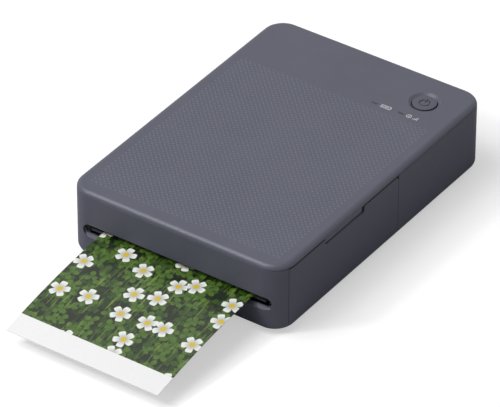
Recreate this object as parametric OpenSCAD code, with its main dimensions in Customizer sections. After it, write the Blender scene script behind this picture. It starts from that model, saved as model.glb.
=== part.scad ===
// Compact photo printer with a hinged top cover and a drop-down cartridge door.
// Frame: origin on the table under the middle of the body, +Z up, paper slot towards -Y, door towards +X.

/* [Case] */
// Width of the body across the paper slot
body_w = 102.2; // [100:0.2:120]
// Length of the body from the slot face to the rear
body_l = 145.8; // [142:0.2:165]
// Height of the body above the table
body_h = 32.9; // [32.5:0.1:38]
// Corner radius in plan
corner_r = 9.3; // [6:0.1:11]
// Radius of the roll round the cover's edge
top_roll_r = 2.35; // [2.1:0.05:2.8]
// Radius of the roll round the bottom edge
bottom_roll_r = 3.2; // [2.6:0.1:3.6]
// Thickness of the moulded walls
wall = 1.8; // [1.4:0.1:2.0]
// Thickness of the case floor
floor_t = 1.6; // [1.2:0.1:2]
// Height of the case's edge above the table
case_lift = 1.4; // [1.2:0.1:2]
// Height of the plinth's underside above the table
plinth_z = 0.4; // [0.2:0.05:0.5]
// Distance from the case's side to the plinth
plinth_inset = 4.6; // [4:0.1:8]
// Diameter of a rubber foot
foot_d = 9; // [6:0.5:12]

/* [Cover] */
// Thickness of the cover's rim
cover_t = 1.95; // [1.6:0.05:2.1]
// Seam between the cover and the case
seam = 0.2; // [0.15:0.05:0.4]
// Diameter of the cover's hinge pins
cover_pin_d = 1.2; // [1:0.1:1.3]
// Distance of each hinge ear from the middle
cover_ear_x = 32; // [20:1:36]

/* [Door] */
// Distance of the door's front edge from the slot face
door_from_front = 6.1; // [6:0.1:10]
// Length of the door along the side
door_l = 75.8; // [70:0.2:80]
// Length of the finger notch
notch_l = 27.3; // [16:0.1:34]
// Depth of the finger notch
notch_h = 2.65; // [1.6:0.05:3.5]
// Diameter of the door's hinge pins
door_pin_d = 1.5; // [1.2:0.1:1.6]

/* [Button] */
// Diameter of the power button
button_d = 10.1; // [8:0.1:11]
// Diameter of the dished recess round the button
dish_d = 13.5; // [12.5:0.1:15]
// Distance of the button from the right side
button_from_side = 18.1; // [15:0.1:24]
// Distance of the button from the rear
button_from_rear = 17.7; // [16:0.1:22]
// Press of the power button
button_travel = 0.35; // [0.2:0.05:0.5]
// Length of an indicator window
window_l = 2.5; // [2:0.1:4]

/* [Paper] */
// Width of a sheet
sheet_w = 72; // [60:0.5:74]
// Length of a sheet
sheet_l = 85; // [80:0.5:86]
// Thickness of a sheet
sheet_t = 0.25; // [0.2:0.01:0.3]
// Height of the paper path above the table
path_z = 15; // [14.8:0.1:15.4]
// How far the printed sheet stands out of the slot
sheet_out = 62.6; // [40:0.2:66]
// Number of sheets in the tray
sheets = 10; // [2:1:10]
// Width of the paper slot
slot_w = 89.2; // [84:0.2:90]
// Height of the paper slot
slot_h = 4.85; // [4:0.05:5]
// Offset of the paper path from the middle of the body
path_x = 1.2; // [0.6:0.1:1.6]

/* [Mechanism] */
// Radius of the platen roller
platen_r = 4.5; // [3.5:0.1:4.6]
// Radius of the feed roller
feed_r = 3.5; // [3:0.1:3.8]
// Radius of the pinch roller
pinch_r = 2.5; // [2:0.1:2.6]
// Radius of the pick-up roller
pickup_r = 6; // [5:0.1:6.2]
// Thickness of the steel side plates
plate_t = 1; // [0.8:0.1:1.2]
// Radius of the cartridge's spool housings
housing_r = 6; // [5.6:0.1:6.1]
// Size of a gear tooth: pitch diameter over number of teeth
gear_m = 0.5; // [0.49:0.01:0.5]
// Face width of a gear
gear_t = 2; // [1.6:0.1:2.2]

/* [Hidden] */
$fn = 64;
eps = 0.01;

gap = 0.3;                 // between pieces that pass each other
snug = 0.1;                // round a piece that is located but free
run = 0.05;                // radial clearance of a turning shaft
tip = 0.02;                // radial clearance of a pressed shaft

case_grey = "#4c4e5a";
cover_grey = "#62646e";
inner_grey = "#2b2c30";
steel = "#a9adb2";
rubber_black = "#232326";

half_w = body_w / 2;
half_l = body_l / 2;
slot_y = -half_l;
cover_z = body_h - cover_t;
case_top = cover_z - seam;
edge_r = 0.3;                // small rounding of the case's upper edge
tongue_gap = 0.5;             // between the cover's tongue and the finger notch under it
notch_bevel = 0.6;           // side of the bevel along the finger notch's lower edge
floor_z = case_lift + floor_t;
inner_w = half_w - wall;
inner_l = half_l - wall;

// hinge of the cover: the axis is the centre line of its rear roll
hinge_y = half_l - top_roll_r;
hinge_z = body_h - top_roll_r;
cover_pin_r = cover_pin_d / 2;
cover_ear_r = cover_pin_r + 0.65;
ear_w = 3;
barrel_half = half_w - corner_r + sqrt(corner_r * corner_r - pow(corner_r - top_roll_r, 2)) + 0.2;

// door: it takes the bottom roll with it and turns about that roll's centre line
door_y0 = slot_y + door_from_front;
door_y1 = door_y0 + door_l;
door_mid = (door_y0 + door_y1) / 2;
door_top = cover_z - 0.6;
door_x = half_w - bottom_roll_r;
door_z = case_lift + bottom_roll_r;
door_pin_r = door_pin_d / 2;
door_ear_r = door_pin_r + 0.45;
door_ear_ys = [door_y0 + 10, door_y1 - 10];
sweep_r = bottom_roll_r + 0.25;

button_x = half_w - button_from_side;
button_y = half_l - button_from_rear;
dish_depth = 0.9;
window_w = 0.9;
window_y = button_y - 12.1;
window_xs = [button_x - 16, button_x - 3.5];

slot_z0 = path_z + 2.35 - slot_h;
lip_drop = 1.1;            // height of the sloping lip under the slot
lip_deep = 1.1;            // depth of the lip into the wall
front_y = slot_y;
left_x = path_x - 42.2;           // inner face of the left plate
right_x = path_x + 41.2;          // inner face of the right plate
feed_axis = [front_y + 10.5, path_z - feed_r];
pinch_axis = [feed_axis[0], path_z + sheet_t + snug + pinch_r];
head_y = front_y + 40.9;
platen_axis = [head_y, path_z - platen_r - snug];
pivot_axis = [head_y + 33.5, path_z + 11.5];
pickup_axis = [head_y + 41.5, path_z + snug + pickup_r];
shaft_r = 1.5;

// gear trains, seen from +X: places are [y, z]
n_motor = 12;
n_feed = 28;
n_takeup = 27;
n_idler = 26;
n_pickup = 24;
mesh_gap = 0.05;
motor_r = 4.3;
function pitch_r(n) = gear_m * n / 2;
function apart(a, b) = pitch_r(a) + pitch_r(b) + mesh_gap;
function dist(a, b) = norm(b - a);
// Point at distance ra from a and rb from b, on the left (side = 1) or right of the line from a to b
function meet(a, b, ra, rb, side) =
  let (d = dist(a, b), u = (b - a) / d, t = (ra * ra - rb * rb + d * d) / (2 * d), h = sqrt(ra * ra - t * t))
  a + t * u + side * h * [-u[1], u[0]];
function bearing(a, b) = atan2(b[1] - a[1], b[0] - a[0]);
// Turn of gear b that puts a gap of it where gear a, turned by pa, has a tooth
function mesh(a, na, pa, b, nb) = bearing(b, a) - (180 + (pa - bearing(a, b)) * na) / nb;
takeup_axis = feed_axis + apart(n_feed, n_takeup) * [cos(51), sin(51)];
supply_axis = takeup_axis + [41.7, 0];
feed_motor_axis = feed_axis + apart(n_feed, n_motor) * [cos(-19), sin(-19)];
pickup_motor_axis = [head_y + 9.8, path_z - 7.1];
front_idler_axis = pickup_motor_axis + apart(n_motor, n_idler) * [cos(28), sin(28)];
rear_idler_axis = meet(front_idler_axis, pickup_axis, apart(n_idler, n_idler), apart(n_idler, n_pickup), -1);
feed_turn = 0;
takeup_turn = mesh(feed_axis, n_feed, feed_turn, takeup_axis, n_takeup);
feed_pinion_turn = mesh(feed_axis, n_feed, feed_turn, feed_motor_axis, n_motor);
pickup_turn = 0;
rear_idler_turn = mesh(pickup_axis, n_pickup, pickup_turn, rear_idler_axis, n_idler);
front_idler_turn = mesh(rear_idler_axis, n_idler, rear_idler_turn, front_idler_axis, n_idler);
pickup_pinion_turn = mesh(front_idler_axis, n_idler, front_idler_turn, pickup_motor_axis, n_motor);
gear_x = left_x - plate_t - 3.2;

cart_x0 = left_x + 0.4;
cart_x1 = cart_x0 + 86;
housing_wall = 0.9;
spool_r = 2;
head_z = path_z + sheet_t + 2.3;      // underside of the parked head
arm_z = cover_z - 1.35;               // underside of the head arm

stack_h = sheets * sheet_t;
stack_y0 = pickup_axis[0] - 26;
stack_z0 = path_z - stack_h;
lift_t = 0.6;
tray_floor_t = 1;
tray_z = path_z - 10 * sheet_t - lift_t - 2.5;    // underside of the tray's floor
tray_y0 = stack_y0 - 0.7;
tray_y1 = stack_y0 + sheet_l + 0.9;
lift_pin_y = stack_y0 + sheet_l - 4;
lift_pin_z = path_z - 10 * sheet_t - lift_t - 0.55;
spring_r = 3;
spring_wire = 0.7;

// 2-D outlines ------------------------------------------------------------
module round_rect(w, l, r) {
  square([w - 2 * r, l], center = true);
  square([w, l - 2 * r], center = true);
  for (sx = [-1, 1], sy = [-1, 1]) translate([sx * (w / 2 - r), sy * (l / 2 - r)]) circle(r);
}

// Cross-section of a box of height h with its lower and upper edges rounded
module soft_section(w, h, rb, rt) {
  translate([-w / 2 + rb, 0]) square([w - 2 * rb, h / 2]);
  translate([-w / 2 + rt, h / 2]) square([w - 2 * rt, h / 2]);
  translate([-w / 2, rb]) square([w, h - rb - rt]);
  for (s = [-1, 1]) {
    if (rb > 0) translate([s * (w / 2 - rb), rb]) circle(rb);
    if (rt > 0) translate([s * (w / 2 - rt), h - rt]) circle(rt);
  }
}

// Box with round corners in plan and rolled lower and upper edges, exact surfaces only
module soft_box(w, l, h, rc, rb, rt) {
  rotate([90, 0, 0]) translate([0, 0, rc - l / 2]) linear_extrude(l - 2 * rc) soft_section(w, h, rb, rt);
  rotate([90, 0, 90]) translate([0, 0, rc - w / 2]) linear_extrude(w - 2 * rc) soft_section(l, h, rb, rt);
  for (sx = [-1, 1], sy = [-1, 1]) translate([sx * (w / 2 - rc), sy * (l / 2 - rc), 0])
    rotate_extrude() intersection() {
      soft_section(2 * rc, h, rb, rt);
      square([2 * rc, h]);
    }
}

module envelope() {
  translate([0, 0, case_lift]) soft_box(body_w, body_l, body_h - case_lift, corner_r, bottom_roll_r,
      top_roll_r);
}

module cavity() {
  translate([0, 0, floor_z]) linear_extrude(body_h) round_rect(2 * inner_w, 2 * inner_l, corner_r - wall);
}

// Box from its low corner to its high corner
module block(lo, hi) {
  translate(lo) cube(hi - lo);
}

// Places a shape drawn in X-Y and raised along Z so that it lies in Y-Z and runs along +X
module along_x(x, p) {
  translate([x, p[0], p[1]]) rotate([90, 0, 90]) children();
}

module rod(x0, x1, p, r) {
  along_x(x0, p) cylinder(h = x1 - x0, r = r);
}

module tube(x0, x1, p, r, bore) {
  along_x(x0, p) difference() {
    cylinder(h = x1 - x0, r = r);
    translate([0, 0, -1]) cylinder(h = x1 - x0 + 2, r = bore);
  }
}

// Involute tooth outline: half the tooth's angle at radius q, thinned by the backlash
backlash = 0.09;
function inv(c) = tan(acos(c)) * 180 / PI - acos(c);
function half_tooth(n, q) =
  let (r = pitch_r(n), rb = r * cos(20))
  90 / n + inv(cos(20)) - inv(min(1, rb / q)) - backlash / r * 90 / PI;
module gear_outline(n) {
  r = pitch_r(n);
  radii = [r - 1.2 * gear_m, max(r * cos(20), r - 0.8 * gear_m), r, r + 0.9 * gear_m];
  polygon([for (i = [0 : n - 1], k = [0 : 7])
    let (q = radii[k < 4 ? k : 7 - k], a = i * 360 / n + (k < 4 ? -1 : 1) * half_tooth(n, q))
    q * [cos(a), sin(a)]]);
}

module gear(n, turn, p, bore, hub_r, hub_l) {
  along_x(gear_x, p) difference() {
    union() {
      linear_extrude(gear_t) rotate(turn) gear_outline(n);
      if (hub_l > 0) cylinder(h = gear_t + hub_l, r = hub_r);
    }
    translate([0, 0, -1]) cylinder(h = gear_t + hub_l + 2, r = bore);
    if (n > 20) for (k = [0 : 4]) rotate(turn + 72 * k) translate([pitch_r(n) * 0.58, 0, -1])
      cylinder(h = gear_t + 2, r = pitch_r(n) * 0.17);
  }
}

// Helical spring along Z as one closed tube with six sides
module coil(h, r, wire, turns, rings = 8) {
  n = turns * rings;
  pts = [for (i = [0 : n], k = [0 : 5])
    let (a = 360 * i / rings, q = r + wire / 2 * cos(60 * k))
    [q * cos(a), q * sin(a), wire / 2 + (h - wire) * i / n + wire / 2 * sin(60 * k)]];
  sides = [for (i = [0 : n - 1], k = [0 : 5])
    let (a = 6 * i + k, b = 6 * i + (k + 1) % 6) each [[a, a + 6, b + 6], [a, b + 6, b]]];
  ends = [for (k = [1 : 4]) each [[0, k, k + 1], [6 * n, 6 * n + k + 1, 6 * n + k]]];
  echo(str("least gap between the turns of a spring: ", (h - wire) / turns - wire, " mm"));
  polyhedron(points = pts, faces = concat(sides, ends), convexity = 8);
}

// Case ----------------------------------------------------------------------
module door_outline() {
  difference() {
    union() {
      translate([door_y0, 0]) square([door_l, door_top - 2]);
      translate([door_y0, 0]) square([door_l - 2, door_top]);
      translate([door_y1 - 2, door_top - 2]) circle(2);
    }
    translate([door_mid - notch_l / 2, door_top - notch_h + 1.2]) square([notch_l, notch_h]);
    translate([door_mid - notch_l / 2 + 1.2, door_top - notch_h]) square([notch_l - 2.4, notch_h]);
    for (s = [-1, 1]) translate([door_mid + s * (notch_l / 2 - 1.2), door_top - notch_h + 1.2]) circle(1.2);
  }
}

foot_at = [body_w / 2 - plinth_inset - 8, body_l / 2 - plinth_inset - 8];
foot_r = foot_d / 2;
foot_pocket = 1;
screw_at = [foot_at[0] - 12, foot_at[1]];
screw_r = 1.3;

module at_corners(p) {
  for (sx = [-1, 1], sy = [-1, 1]) translate([sx * p[0], sy * p[1], 0]) children();
}

usb_x = 22;
usb_w = 8.94;
usb_h = 3.2;
usb_z = floor_z + 2 + usb_h / 2;      // middle of the socket, which sits on the board
module usb_outline(grow) {
  h = usb_h + 2 * grow;
  w = usb_w + 2 * grow;
  square([w - h, h], center = true);
  for (s = [-1, 1]) translate([s * (w - h) / 2, 0]) circle(h / 2);
}

module slot_cut() {
  r = slot_h / 2;
  translate([path_x, front_y + wall + 1, slot_z0 + r]) rotate([90, 0, 0]) linear_extrude(wall + 2) {
    square([slot_w - slot_h, slot_h], center = true);
    for (s = [-1, 1]) translate([s * (slot_w - slot_h) / 2, 0]) circle(r);
  }
  // sloping lip under the slot: a wedge with the outline of a taller slot
  lip_r = (slot_h + lip_drop) / 2;
  intersection() {
    along_x(path_x - slot_w / 2 - 1, [front_y, slot_z0]) linear_extrude(slot_w + 2)
      polygon([[-1, -lip_drop - 1], [0, -lip_drop], [lip_deep, 0], [lip_deep, r], [-1, slot_h]]);
    translate([path_x, front_y + wall, slot_z0 - lip_drop + lip_r]) rotate([90, 0, 0])
        linear_extrude(wall + 1) {
      square([slot_w + 1 - 2 * lip_r, 2 * lip_r], center = true);
      for (s = [-1, 1]) translate([s * ((slot_w + 1) / 2 - lip_r), 0]) circle(lip_r);
    }
  }
}

module case_posts() {
  post_x = right_x + plate_t + 0.2;
  for (y = door_ear_ys) {
    block([post_x, y - ear_w / 2, floor_z - 0.5], [post_x + 0.8, y + ear_w / 2, door_z + 1.9]);
    block([post_x, y - ear_w / 2, door_z + 0.25], [door_x, y + ear_w / 2, door_z + 1.9]);
    translate([door_x, y + ear_w / 2, door_z]) rotate([90, 0, 0]) cylinder(h = ear_w, r = door_ear_r);
    block([door_x - door_ear_r, y - ear_w / 2, door_z], [door_x + door_ear_r, y + ear_w / 2, door_z + 1.3]);
  }
  for (s = [-1, 1]) {
    x0 = s * cover_ear_x - ear_w / 2;
    block([x0, hinge_y - 4, 22], [x0 + ear_w, hinge_y - 2.8, hinge_z + 0.1]);
    block([x0, hinge_y - 4, 22], [x0 + ear_w, inner_l + 0.5, 27.2]);
    block([x0, hinge_y - 4, hinge_z - 1.1], [x0 + ear_w, hinge_y, hinge_z + 0.1]);
    rod(x0, x0 + ear_w, [hinge_y, hinge_z], cover_ear_r);
  }
}

module lower_case() {
  color(case_grey) difference() {
    union() {
      difference() {
        translate([0, 0, case_lift]) soft_box(body_w, body_l, case_top - case_lift, corner_r,
            bottom_roll_r, edge_r);
        cavity();
        rod(-barrel_half - 0.2, barrel_half + 0.2, [hinge_y, hinge_z], top_roll_r + 0.25);
        block([door_x, door_y0 - seam, -1], [half_w + 1, door_y1 + seam, body_h]);
      }
      translate([0, 0, plinth_z]) linear_extrude(case_lift + 0.8 - plinth_z)
        round_rect(body_w - 2 * plinth_inset, body_l - 2 * plinth_inset, corner_r - plinth_inset + 1);
      at_corners(screw_at) translate([0, 0, plinth_z]) cylinder(h = floor_z + 4 - plinth_z, r = 2.6);
    }
    translate([door_x, door_y1 + seam, door_z]) rotate([90, 0, 0]) cylinder(h = door_l + 2 * seam,
        r = sweep_r);
    at_corners(foot_at) translate([0, 0, -1]) cylinder(h = foot_pocket + plinth_z + 1, r = foot_r + snug);
    at_corners(screw_at) {
      translate([0, 0, -1]) cylinder(h = 3.2, r = 2.8);
      translate([0, 0, -1]) cylinder(h = 20, r = screw_r + run);
    }
    slot_cut();
    translate([usb_x, half_l + 1, usb_z]) rotate([90, 0, 0]) linear_extrude(wall + 2) usb_outline(0.3);
    for (y = door_ear_ys) translate([door_x, y + ear_w, door_z]) rotate([90, 0, 0])
      cylinder(h = 2 * ear_w, r = door_pin_r + run);
  }
  color(case_grey) difference() {
    case_posts();
    for (y = door_ear_ys) translate([door_x, y + ear_w, door_z]) rotate([90, 0, 0])
      cylinder(h = 2 * ear_w, r = door_pin_r + run);
    rod(-half_w, half_w, [hinge_y, hinge_z], cover_pin_r + run);
  }
}

module rubber_feet() {
  color(rubber_black) at_corners(foot_at) cylinder(h = foot_pocket + plinth_z, r = foot_r);
}

module case_screws() {
  color(steel) at_corners(screw_at) {
    translate([0, 0, floor_z - 2.3]) difference() {
      cylinder(h = 1.5, r = 2.4);
      translate([0, 0, -1]) cylinder(h = 1.8, r = 1, $fn = 6);
    }
    translate([0, 0, floor_z - 1]) cylinder(h = 5, r = screw_r);
  }
}

// Door: it swings out and down about the bottom roll's centre line ---------
module cartridge_door() {
  color(case_grey) difference() {
    union() {
      intersection() {
        difference() {
          translate([0, 0, case_lift]) soft_box(body_w, body_l, case_top, corner_r, bottom_roll_r, 0);
          translate([0, 0, case_lift + wall])
            soft_box(2 * inner_w, 2 * inner_l, case_top, corner_r - wall, bottom_roll_r - wall, 0);
        }
        along_x(door_x, [0, 0]) linear_extrude(20) door_outline();
      }
      for (y = door_ear_ys, s = [-1, 1])
        translate([door_x, y + s * (ear_w / 2 + 0.95) + 0.8, door_z]) rotate([90, 0, 0])
          cylinder(h = 1.6, r = bottom_roll_r - 0.4);
      for (y = [door_y0 + 22, door_mid, door_y1 - 22])
        block([inner_w - 0.8, y - 0.6, door_z + 3], [inner_w + 0.2, y + 0.6, door_top - 5]);
    }
    translate([half_w, door_mid, door_top - notch_h]) rotate([0, 45, 0])
      cube([notch_bevel, notch_l - 3, notch_bevel], center = true);
    for (y = door_ear_ys) translate([door_x, y + 8, door_z]) rotate([90, 0, 0]) cylinder(h = 16,
        r = door_pin_r + tip);
  }
}

module door_hinge_pins() {
  color(steel) for (y = door_ear_ys) translate([door_x, y + ear_w / 2 + 1.7, door_z]) rotate([90, 0, 0])
    cylinder(h = ear_w + 3.4, r = door_pin_r);
}

// Cover ---------------------------------------------------------------------
liner_x = [path_x - 39, path_x + 42];
liner_y = [pickup_axis[0] + pickup_r + 2.5, hinge_y - 6];
liner_h = 4.2;
liner_z = cover_z - liner_h;
board_z = liner_z + 1;
board_t = 0.8;
switch_h = 1.3;
liner_screws_at = [for (x = [liner_x[0] + 3.4, liner_x[1] - 3.4], y = [liner_y[0] + 3.4,
    liner_y[1] - 3.4]) [x, y]];

module window_slots(grow, z0, z1) {
  for (x = window_xs)
    block([x - window_l / 2 - grow, window_y - window_w / 2 - grow, z0],
          [x + window_l / 2 + grow, window_y + window_w / 2 + grow, z1]);
}

module top_cover() {
  color(cover_grey) difference() {
    union() {
      intersection() {
        envelope();
        union() {
          translate([0, 0, cover_z + 25]) cube([2 * body_w, 2 * body_l, 50], center = true);
          rod(-barrel_half, barrel_half, [hinge_y, hinge_z], top_roll_r);
        }
      }
      for (s = [-1, 1]) block([s * 30 - 5, -inner_l + 0.25, cover_z - 3], [s * 30 + 5, -inner_l + 1.5,
          cover_z + 0.2]);
      for (x = [-30, -10, 10, 30]) block([x - 0.6, -inner_l + 4, cover_z - 0.2], [x + 0.6,
          takeup_axis[0] - 9, cover_z + 0.1]);
      for (p = liner_screws_at) translate([p[0], p[1], liner_z + 1]) cylinder(h = liner_h, r = 2);
      // tongue in the door's notch, for a fingernail
      block([half_w - 0.5 - wall, door_mid - notch_l / 2 + gap, door_top - notch_h + tongue_gap],
            [half_w - 0.5, door_mid + notch_l / 2 - gap - 1, cover_z + 0.2]);
    }
    for (s = [-1, 1]) {
      x0 = s * cover_ear_x - ear_w / 2 - 0.2;
      rod(x0, x0 + ear_w + 0.4, [hinge_y, hinge_z], cover_ear_r + 0.2);
      block([x0, hinge_y - 5, hinge_z - 3], [x0 + ear_w + 0.4, hinge_y + 1, cover_z]);
      rod(s * cover_ear_x - ear_w / 2 - 4, s * cover_ear_x + ear_w / 2 + 4, [hinge_y, hinge_z],
          cover_pin_r + tip);
    }
    translate([button_x, button_y, body_h - dish_depth])
      cylinder(h = dish_depth + eps, r1 = button_d / 2 + 0.35, r2 = dish_d / 2);
    translate([button_x, button_y, liner_z]) cylinder(h = 10, r = button_d / 2 + 0.35);
    window_slots(0.05, liner_z, body_h + 1);
    for (p = liner_screws_at) translate([p[0], p[1], 0]) cylinder(h = body_h - 1, r = 0.8 + tip);
  }
}

module cover_liner() {
  difference() {
    color(inner_grey) union() {
      block([liner_x[0], liner_y[0], liner_z], [liner_x[1], liner_y[1], liner_z + 1]);
      for (x = [liner_x[0], liner_x[1] - 1.2]) block([x, liner_y[0], liner_z], [x + 1.2, liner_y[1],
          cover_z]);
      for (y = [liner_y[0], liner_y[1] - 1.2]) block([liner_x[0], y, liner_z], [liner_x[1], y + 1.2,
          cover_z]);
      for (x = [path_x - 20, path_x]) block([x - 0.6, liner_y[0], liner_z], [x + 0.6, liner_y[1],
          cover_z - 1]);
    }
    for (p = liner_screws_at) translate([p[0], p[1], 0]) cylinder(h = 40, r = 0.8 + run);
    for (p = liner_screws_at) translate([p[0], p[1], liner_z - 1]) cylinder(h = 1.5, r = 1.8);
  }
}

module liner_screws() {
  color(steel) for (p = liner_screws_at) translate([p[0], p[1], liner_z]) {
    difference() {
      cylinder(h = 0.5, r = 1.6);
      translate([0, 0, -1]) cylinder(h = 1.3, r = 0.5, $fn = 6);
    }
    cylinder(h = 3.6, r = 0.8);
  }
}

module cover_hinge_pins() {
  color(steel) for (s = [-1, 1]) rod(s * cover_ear_x - ear_w / 2 - 3.5, s * cover_ear_x + ear_w / 2 + 3.5,
                                     [hinge_y, hinge_z], cover_pin_r);
}

module power_button() {
  r = button_d / 2;
  z1 = body_h - 0.4;
  presser_z = board_z + board_t + switch_h + button_travel + 0.05;
  color(cover_grey) translate([button_x, button_y, 0]) difference() {
    union() {
      translate([0, 0, presser_z]) cylinder(h = z1 - presser_z, r = r);
      translate([0, 0, presser_z]) cylinder(h = 0.6, r = r + 0.9);
    }
    // shallow dish in the cap, and the standby sign: a ring open at the top with a bar in the opening
    translate([0, 0, z1 + 24.85]) sphere(r = 25, $fn = 96);
    translate([0, 0, z1 - 0.4]) difference() {
      cylinder(h = 1, r = 2.35);
      translate([0, 0, -1]) cylinder(h = 3, r = 1.85);
      translate([-0.8, 0, -1]) cube([1.6, 4, 3]);
    }
    translate([-0.25, 0.5, z1 - 0.4]) cube([0.5, 2.3, 1]);
  }
}

module indicator_windows() {
  color(rubber_black) window_slots(0, board_z + board_t + 0.9, body_h - 0.05);
}

module button_board() {
  color("#1f5a3c") block([window_xs[0] - 6, window_y - 5, board_z], [button_x + 3.4, button_y + 2.6, board_z + board_t]);
}

module button_switch() {
  z = board_z + board_t;
  color(steel) block([button_x - 2.25, button_y - 2.25, z], [button_x + 2.25, button_y + 2.25,
      z + switch_h - 0.5]);
  color(rubber_black) translate([button_x, button_y, z + switch_h - 0.5]) cylinder(h = 0.5, r = 1);
}

module indicator_lamps() {
  color("#e8e4c8") for (x = window_xs)
    block([x - 0.8, window_y - 0.4, board_z + board_t], [x + 0.8, window_y + 0.4, board_z + board_t + 0.6]);
}

// Frame ---------------------------------------------------------------------
plate_y0 = front_y + 4;
plate_y1 = pickup_axis[0] + 7;
plate_top = path_z + 13.6;
rod_places = [[front_y + 8.5, plate_top - 1.9], [tray_y0 + 6.4, floor_z + 2.4]];

module plate_blank(x) {
  along_x(x, [0, 0]) linear_extrude(plate_t) difference() {
    translate([plate_y0, floor_z]) square([plate_y1 - plate_y0, plate_top - floor_z]);
    for (p = rod_places) translate(p) circle(shaft_r + tip);
    translate(pivot_axis) circle(shaft_r + tip);
    for (p = [feed_axis, platen_axis, pickup_axis]) translate(p) circle(2.6 + tip);
    translate(pinch_axis) circle(0.7 + run);
    children();
  }
}

module left_plate() {
  color(steel) plate_blank(left_x - plate_t) {
    for (p = [takeup_axis, supply_axis]) translate(p) circle(spool_r + 0.4);
    for (p = [feed_motor_axis, pickup_motor_axis]) translate(p) circle(1.8);
    for (p = [front_idler_axis, rear_idler_axis]) translate(p) circle(1.2 + tip);
  }
}

module right_plate() {
  web_z = takeup_axis[1] - housing_r + housing_wall;
  color(steel) plate_blank(right_x) {
    for (p = [takeup_axis, supply_axis]) translate(p) circle(housing_r + gap);
    translate([takeup_axis[0], web_z - 0.6]) square([supply_axis[0] - takeup_axis[0], 1.6]);
  }
}

module cross_rods() {
  color(steel) for (p = rod_places) rod(left_x - plate_t, right_x + plate_t, p, shaft_r);
}

module shaft_bushes() {
  color("#8a6a3a") for (p = [feed_axis, platen_axis, pickup_axis], x = [left_x - plate_t, right_x])
    tube(x, x + plate_t, p, 2.6, shaft_r + run);
}

module lower_guide() {
  color(inner_grey) block([left_x, -inner_l + gap, path_z - 1.5], [right_x,
      feed_axis[0] - feed_r - 0.2, path_z - 0.3]);
}

module upper_guide() {
  color(inner_grey) difference() {
    block([left_x, -inner_l + gap, path_z + 1.6], [right_x, feed_axis[0] - pinch_r - 0.3, path_z + 2.6]);
    block([left_x - 1, -inner_l - 1, path_z + 1], [left_x + 3, plate_y0, path_z + 3]);
  }
}

// Feed ----------------------------------------------------------------------
module feed_roller() {
  color("#8f9296") {
    rod(path_x - 36.4, path_x + 36.4, feed_axis, feed_r);
    rod(gear_x - 0.4, right_x + plate_t + 0.4, feed_axis, shaft_r);
  }
}

module feed_gear() {
  color("#e6e2d6") gear(n_feed, feed_turn, feed_axis, shaft_r + tip, 3.4, 0.6);
}

module pinch_roller() {
  color(rubber_black) rod(path_x - 36.4, path_x + 36.4, pinch_axis, pinch_r);
  color(steel) rod(left_x - 0.8, right_x + 0.8, pinch_axis, 0.7);
}

// Each end of the pinch roller turns in a bearing block that a spring pushes down
bearing_l = 3.8;
bearing_xs = [left_x + 0.2 + bearing_l / 2, right_x - 0.2 - bearing_l / 2];
bearing_top = pinch_axis[1] + pinch_r + 0.5;
bracket_z = plate_top - 4.4;
module pinch_bearings() {
  color(inner_grey) difference() {
    for (x = bearing_xs)
      block([x - bearing_l / 2, pinch_axis[0] - 2.2, pinch_axis[1] - 1.8],
            [x + bearing_l / 2, pinch_axis[0] + 2.2, bearing_top]);
    rod(left_x, right_x, pinch_axis, 0.7 + run);
  }
}

module pinch_bracket() {
  color(steel) for (x = [left_x, right_x - 4.2])
    block([x, pinch_axis[0] - 3.4, bracket_z], [x + 4.2, pinch_axis[0] + 1.2, bracket_z + 0.8]);
}

module pinch_springs() {
  color(steel) for (x = bearing_xs)
    translate([x, pinch_axis[0] - 0.8, bearing_top + 0.01]) coil(bracket_z - bearing_top - 0.02, 1.3, 0.4, 3);
}

module platen_shaft() {
  color(steel) rod(left_x - plate_t - 0.4, right_x + plate_t + 0.4, platen_axis, shaft_r);
}

module platen_rubber() {
  color(rubber_black) tube(path_x - 37.5, path_x + 38.5, platen_axis, platen_r, shaft_r);
}

// Print head ----------------------------------------------------------------
head_x0 = path_x - 37;
head_x1 = path_x + 37;
sink_z = head_z + 1.3;
spring_pocket = 7;
module head_arm() {
  color(steel) difference() {
    union() {
      block([head_x0, head_y - 7, arm_z], [head_x1, pivot_axis[0] + 3, arm_z + 1]);
      for (x = [head_x0, head_x1 - 1.2])
        block([x, pivot_axis[0] - 3, pivot_axis[1] - 2.6], [x + 1.2, pivot_axis[0] + 3, arm_z + 0.5]);
    }
    rod(head_x0 - 1, head_x1 + 1, pivot_axis, shaft_r + run);
    for (x = [-24, 0, 24]) block([path_x + x - 8, head_y + 9, arm_z - 1], [path_x + x + 8,
        pivot_axis[0] - 5, arm_z + 2]);
  }
}

module head_pivot() {
  color(steel) rod(left_x - plate_t, right_x + plate_t, pivot_axis, shaft_r);
}

module heat_sink() {
  color("#c4c7ca") difference() {
    block([head_x0, head_y - 6.5, sink_z], [head_x1, head_y + 6.5, arm_z]);
    for (y = [-5, -2.5, 2.5, 5]) block([head_x0 - 1, head_y + y - 0.7, sink_z + 4], [head_x1 + 1,
        head_y + y + 0.7, arm_z - 1]);
    for (s = [-1, 1]) translate([path_x + s * 26, head_y, arm_z - spring_pocket])
        cylinder(h = spring_pocket + 1, r = 3.3);
  }
}

module thermal_head() {
  color("#d8c9a8") {
    block([head_x0, head_y - 5, head_z + 0.4], [head_x1, head_y + 5, sink_z]);
    block([head_x0 + 1, head_y - 0.8, head_z], [head_x1 - 1, head_y + 0.8, head_z + 0.5]);
  }
}

module head_springs() {
  color(steel) for (s = [-1, 1])
    translate([path_x + s * 26, head_y, arm_z - spring_pocket]) coil(spring_pocket - 0.05, 2.3, 0.7, 5);
}

// Motors and gears ----------------------------------------------------------
module motor(p, len) {
  color(steel) difference() {
    union() {
      rod(left_x, left_x + len, p, motor_r);
      rod(left_x + len - eps, left_x + len + 1, p, 1.6);
    }
    rod(left_x - 1, left_x + len - 1, p, 0.8);
  }
}

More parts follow.
